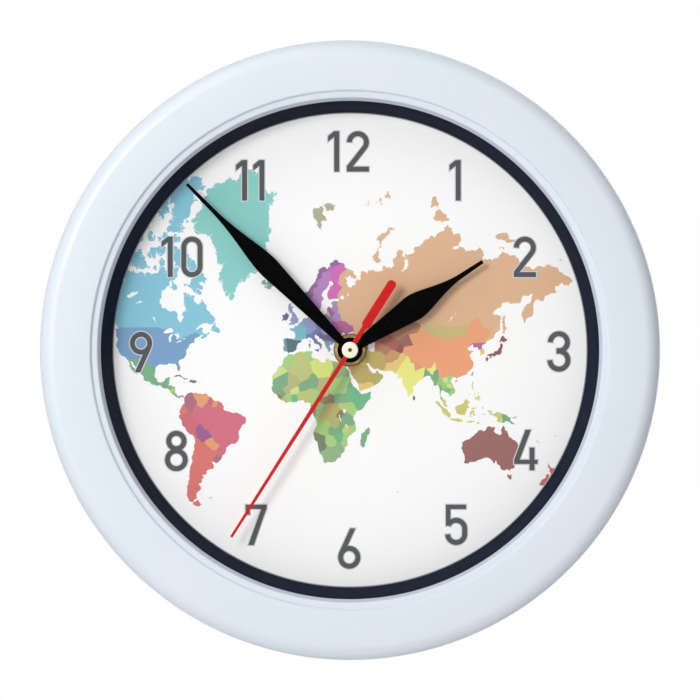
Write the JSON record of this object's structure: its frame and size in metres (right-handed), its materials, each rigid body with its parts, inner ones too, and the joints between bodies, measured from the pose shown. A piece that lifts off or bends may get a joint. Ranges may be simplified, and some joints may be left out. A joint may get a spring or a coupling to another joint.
{
  "type": "wall clock",
  "caption": "Round quartz wall clock with a stepped pale bezel, a world map dial with plain numerals, leaf hands, a geared movement behind and a keyhole for hanging.",
  "frame": {"origin": "centre of the rear rim, on the wall plane, on the axis of the hands", "axes": "+Z to twelve o'clock, +Y into the wall along the axis of the hands, the dial faces -Y"},
  "size_m": [0.25, 0.0412, 0.25],
  "materials": {
    "case_shell": "satin",
    "back_shell": "matte",
    "spacer_navy": "satin",
    "clear_lens": "polished",
    "dial_print": "matte",
    "screw_steel": "satin",
    "gasket_rubber": "matte",
    "brass": "polished",
    "movement_black": "matte",
    "plate_white": "matte",
    "board_green": "satin",
    "chip_black": "gloss",
    "can_metal": "polished",
    "core_iron": "satin",
    "coil_copper": "satin",
    "magnet_grey": "matte",
    "wheel_plastic": "satin",
    "arbor_steel": "polished",
    "contact_nickel": "polished",
    "battery_can": "satin",
    "hand_black": "satin",
    "hand_red": "satin",
    "cap_ivory": "gloss"
  },
  "bodies": {
    "case": {"bezel": "case_shell", "lens": "clear_lens", "spacer_ring": "spacer_navy", "dial": "dial_print", "back_case": "back_shell", "case_screws": "screw_steel", "rubber_washer": "gasket_rubber", "threaded_bush": "brass", "nut_washer": "brass", "hex_nut": "brass", "movement_front_case": "movement_black", "movement_rear_cover": "movement_black", "middle_plate": "plate_white", "circuit_board": "board_green", "timing_chip": "chip_black", "quartz_crystal": "can_metal", "coil_core": "core_iron", "coil_bobbin": "plate_white", "coil_winding": "coil_copper", "stator": "core_iron", "positive_contact": "contact_nickel", "negative_contact": "contact_nickel"},
    "rotor": {"rotor_magnet": "magnet_grey", "rotor_pinion": "wheel_plastic"},
    "idle": {"idle_wheel": "wheel_plastic"},
    "seconds": {"seconds_wheel": "wheel_plastic", "seconds_pinion": "wheel_plastic", "seconds_arbor": "arbor_steel", "second_hand": "hand_red", "second_cap": "cap_ivory"},
    "third": {"third_wheel": "wheel_plastic"},
    "centre": {"centre_wheel": "wheel_plastic"},
    "minutes": {"minute_arbor": "wheel_plastic", "clutch_spring": "arbor_steel", "minute_collar": "hand_black", "minute_hand": "hand_black"},
    "setting": {"motion_wheel": "wheel_plastic", "setting_knob": "movement_black"},
    "hours": {"hour_wheel": "wheel_plastic", "hour_collar": "hand_black", "hour_hand": "hand_black"},
    "cell": {"battery": "battery_can"}
  },
  "joints": [
    {"name": "second_hand_spin", "type": "hinge", "parent": "case", "child": "seconds", "pos_m": [0, -0.02, 0], "axis": [0, 1, 0], "continuous": true},
    {"name": "rotor_spin", "type": "hinge", "parent": "case", "child": "rotor", "pos_m": [-0.003, -0.008, 0.0122], "axis": [0, 1, 0], "continuous": true},
    {"name": "idle_spin", "type": "hinge", "parent": "case", "child": "idle", "pos_m": [0, -0.008, 0.007], "axis": [0, 1, 0], "continuous": true},
    {"name": "third_spin", "type": "hinge", "parent": "case", "child": "third", "pos_m": [0.00893, -0.012, 0.00325], "axis": [0, 1, 0], "continuous": true},
    {"name": "centre_spin", "type": "hinge", "parent": "case", "child": "centre", "pos_m": [0, -0.0133, 0], "axis": [0, 1, 0], "continuous": true},
    {"name": "minute_hand_spin", "type": "hinge", "parent": "case", "child": "minutes", "pos_m": [0, -0.021, 0], "axis": [0, 1, 0], "continuous": true},
    {"name": "setting_knob_spin", "type": "hinge", "parent": "case", "child": "setting", "pos_m": [-0.00949, -0.01, 0.00345], "axis": [0, 1, 0], "continuous": true},
    {"name": "hour_hand_spin", "type": "hinge", "parent": "case", "child": "hours", "pos_m": [0, -0.022, 0], "axis": [0, 1, 0], "continuous": true},
    {"name": "battery_slide", "type": "slide", "parent": "case", "child": "cell", "axis": [0, 1, 0], "range_m": [0, 0.022]}
  ],
  "couplings": [
    {"joint": "idle_spin", "follows": "second_hand_spin", "ratio": -6},
    {"joint": "rotor_spin", "follows": "second_hand_spin", "ratio": 30},
    {"joint": "third_spin", "follows": "second_hand_spin", "ratio": -0.125},
    {"joint": "centre_spin", "follows": "second_hand_spin", "ratio": 0.016667},
    {"joint": "setting_knob_spin", "follows": "minute_hand_spin", "ratio": -0.33333},
    {"joint": "hour_hand_spin", "follows": "minute_hand_spin", "ratio": 0.083333}
  ]
}
